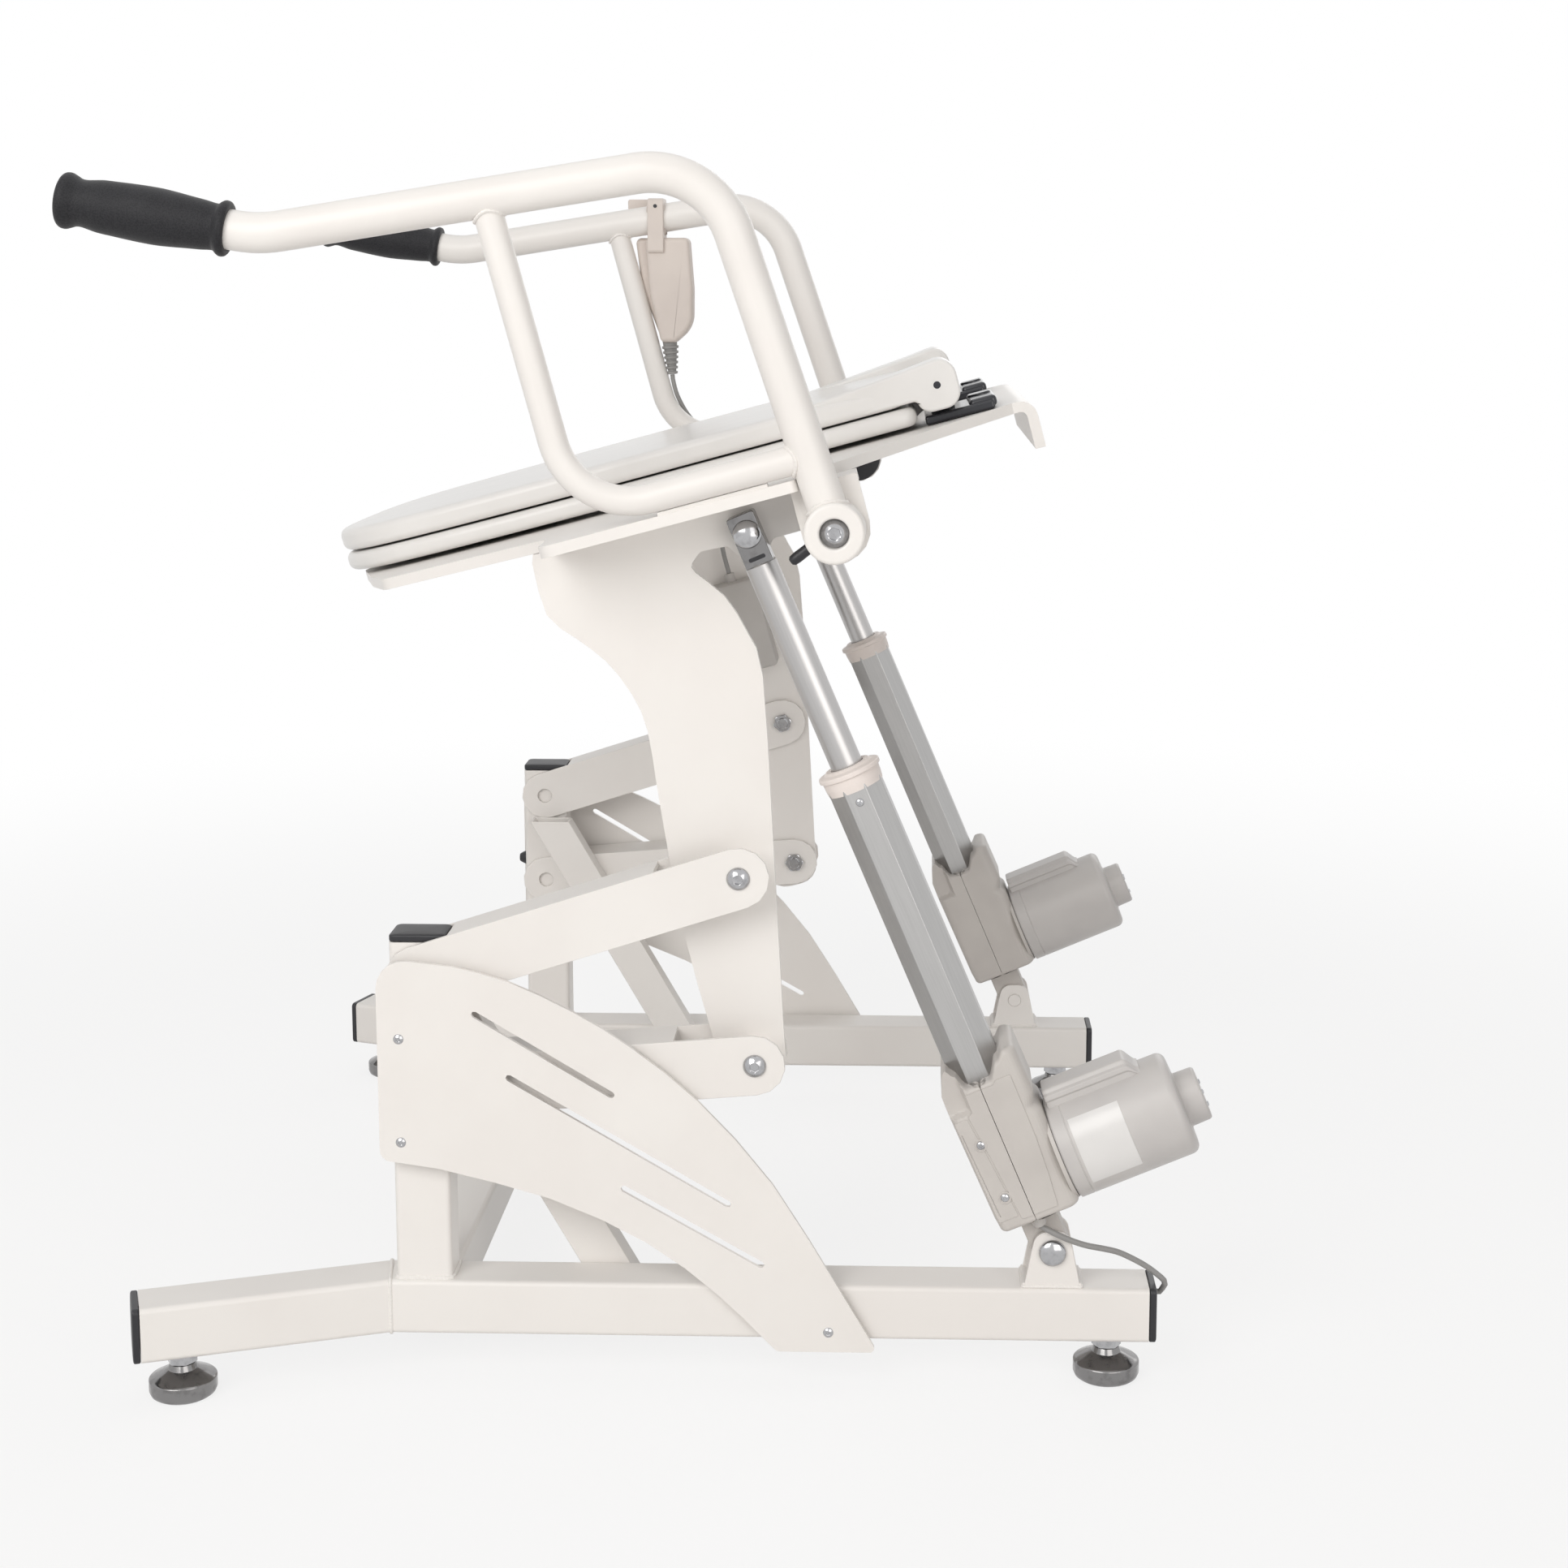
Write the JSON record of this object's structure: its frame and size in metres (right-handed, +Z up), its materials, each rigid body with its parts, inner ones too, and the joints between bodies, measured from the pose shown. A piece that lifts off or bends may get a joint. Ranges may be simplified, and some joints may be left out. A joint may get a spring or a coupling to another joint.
{
  "type": "powered toilet lift",
  "caption": "Powered toilet lift: a floor frame whose channel arms and linear actuators raise and tilt a deck with hinged seat, fold-back armrests and a corded handset.",
  "frame": {"origin": "on the floor, under the middle of the lift's bounding box, measured without the cords", "axes": "+Z up; -Y towards the front, the way the user faces; +X towards the user's left"},
  "size_m": [0.732, 0.7379, 0.8187],
  "materials": {
    "white_paint": "satin powder coat",
    "white_seat": "smooth, slightly glossy",
    "grey_housing": "painted casting, light grey",
    "control_grey": "light grey, matt",
    "beige_handset": "warm grey, matt",
    "black_plastic": "moulded, matt",
    "grip_rubber": "soft, matt",
    "polished_steel": "polished",
    "anodised_aluminium": "satin anodised",
    "cord_sheath": "grey, smooth"
  },
  "bodies": {
    "base": {"left_rail": "white_paint", "right_rail": "white_paint", "left_post": "white_paint", "right_post": "white_paint", "left_leg_cap": "black_plastic", "right_leg_cap": "black_plastic", "left_rail_cap": "black_plastic", "right_rail_cap": "black_plastic", "left_post_cap": "black_plastic", "right_post_cap": "black_plastic", "cross_tube": "white_paint", "left_brace": "white_paint", "right_brace": "white_paint", "left_side_cover": "white_paint", "right_side_cover": "white_paint", "left_actuator_bracket": "white_paint", "right_actuator_bracket": "white_paint", "motor_lead": "cord_sheath"},
    "left_front_foot": {"left_front_foot": "polished_steel"},
    "right_front_foot": {"right_front_foot": "polished_steel"},
    "left_rear_foot": {"left_rear_foot": "polished_steel"},
    "right_rear_foot": {"right_rear_foot": "polished_steel"},
    "upper_arms": {"left_upper_arm": "white_paint", "right_upper_arm": "white_paint", "left_upper_pivot_bolt": "polished_steel", "right_upper_pivot_bolt": "polished_steel"},
    "lower_arms": {"left_lower_arm": "white_paint", "right_lower_arm": "white_paint", "left_lower_pivot_bolt": "polished_steel", "right_lower_pivot_bolt": "polished_steel"},
    "seat_frame": {"left_support_plate": "white_paint", "right_support_plate": "white_paint", "seat_deck": "white_paint", "left_seat_hinge": "black_plastic", "right_seat_hinge": "black_plastic", "left_armrest_bolt": "polished_steel", "right_armrest_bolt": "polished_steel", "control_box": "control_grey", "pendant_cord": "cord_sheath"},
    "actuators": {"left_gearbox": "grey_housing", "right_gearbox": "grey_housing", "left_motor": "grey_housing", "right_motor": "grey_housing", "left_actuator_tube": "anodised_aluminium", "right_actuator_tube": "anodised_aluminium", "left_lead_screw": "polished_steel", "right_lead_screw": "polished_steel"},
    "actuator_rods": {"left_actuator_rod": "anodised_aluminium", "right_actuator_rod": "anodised_aluminium"},
    "left_armrest": {"left_armrest": "white_paint", "left_grip": "grip_rubber"},
    "right_armrest": {"right_armrest": "white_paint", "right_grip": "grip_rubber", "pendant": "beige_handset"},
    "left_release_lever": {"left_release_lever": "black_plastic"},
    "right_release_lever": {"right_release_lever": "black_plastic"},
    "seat_ring": {"seat_ring": "white_seat"},
    "seat_lid": {"seat_lid": "white_seat"},
    "raise_button": {"raise_button": "black_plastic"},
    "lower_button": {"lower_button": "black_plastic"}
  },
  "joints": [
    {"name": "lift", "type": "hinge", "parent": "base", "child": "upper_arms", "pos_m": [0, -0.163, 0.2815], "axis": [1, 0, 0], "range_deg": [-32, 0]},
    {"name": "lower_arm_swing", "type": "hinge", "parent": "base", "child": "lower_arms", "pos_m": [0, -0.163, 0.204], "axis": [1, 0, 0], "range_deg": [-32.4, 0]},
    {"name": "seat_tilt", "type": "hinge", "parent": "upper_arms", "child": "seat_frame", "pos_m": [0, 0.05234, 0.3501], "axis": [1, 0, 0], "range_deg": [0, 19.1]},
    {"name": "actuator_swing", "type": "hinge", "parent": "base", "child": "actuators", "pos_m": [0, 0.2626, 0.094], "axis": [1, 0, 0], "range_deg": [0, 0.2]},
    {"name": "rod_slide", "type": "slide", "parent": "actuators", "child": "actuator_rods", "axis": [0, -0.3886, 0.9214], "range_m": [-0.1426, 0]},
    {"name": "left_front_foot_thread", "type": "slide", "parent": "base", "child": "left_front_foot", "axis": [0, 0, -1], "range_m": [0, 0.012]},
    {"name": "right_front_foot_thread", "type": "slide", "parent": "base", "child": "right_front_foot", "axis": [0, 0, -1], "range_m": [0, 0.012]},
    {"name": "left_rear_foot_thread", "type": "slide", "parent": "base", "child": "left_rear_foot", "axis": [0, 0, -1], "range_m": [0, 0.012]},
    {"name": "right_rear_foot_thread", "type": "slide", "parent": "base", "child": "right_rear_foot", "axis": [0, 0, -1], "range_m": [0, 0.012]},
    {"name": "left_armrest_pivot", "type": "hinge", "parent": "seat_frame", "child": "left_armrest", "pos_m": [0.347, 0.11741, 0.58442], "axis": [-1, 0, 0], "range_deg": [0, 90]},
    {"name": "right_armrest_pivot", "type": "hinge", "parent": "seat_frame", "child": "right_armrest", "pos_m": [-0.347, 0.11741, 0.58442], "axis": [-1, 0, 0], "range_deg": [0, 90]},
    {"name": "left_release", "type": "hinge", "parent": "seat_frame", "child": "left_release_lever", "pos_m": [0.3205, 0.11741, 0.58442], "axis": [-1, 0, 0], "range_deg": [0, 12], "stiffness_Nm_per_rad": 1},
    {"name": "right_release", "type": "hinge", "parent": "seat_frame", "child": "right_release_lever", "pos_m": [-0.3205, 0.11741, 0.58442], "axis": [-1, 0, 0], "range_deg": [0, 12], "stiffness_Nm_per_rad": 1},
    {"name": "ring_hinge", "type": "hinge", "parent": "seat_frame", "child": "seat_ring", "pos_m": [0, 0.18317, 0.66934], "axis": [-1, 0, 0], "range_deg": [0, 80]},
    {"name": "lid_hinge", "type": "hinge", "parent": "seat_ring", "child": "seat_lid", "pos_m": [0, 0.18317, 0.66934], "axis": [-1, 0, 0], "range_deg": [0, 85]},
    {"name": "raise_press", "type": "slide", "parent": "right_armrest", "child": "raise_button", "axis": [1, 0, 0], "range_m": [0, 0.0013], "stiffness_N_per_m": 300},
    {"name": "lower_press", "type": "slide", "parent": "right_armrest", "child": "lower_button", "axis": [1, 0, 0], "range_m": [0, 0.0013], "stiffness_N_per_m": 300}
  ],
  "couplings": [
    {"joint": "lower_arm_swing", "follows": "lift", "ratio": 1.0111},
    {"joint": "seat_tilt", "follows": "lift", "ratio": -0.59586},
    {"joint": "actuator_swing", "follows": "lift", "ratio": -0.00514},
    {"joint": "rod_slide", "follows": "lift", "m_per_rad": 0.25514}
  ]
}
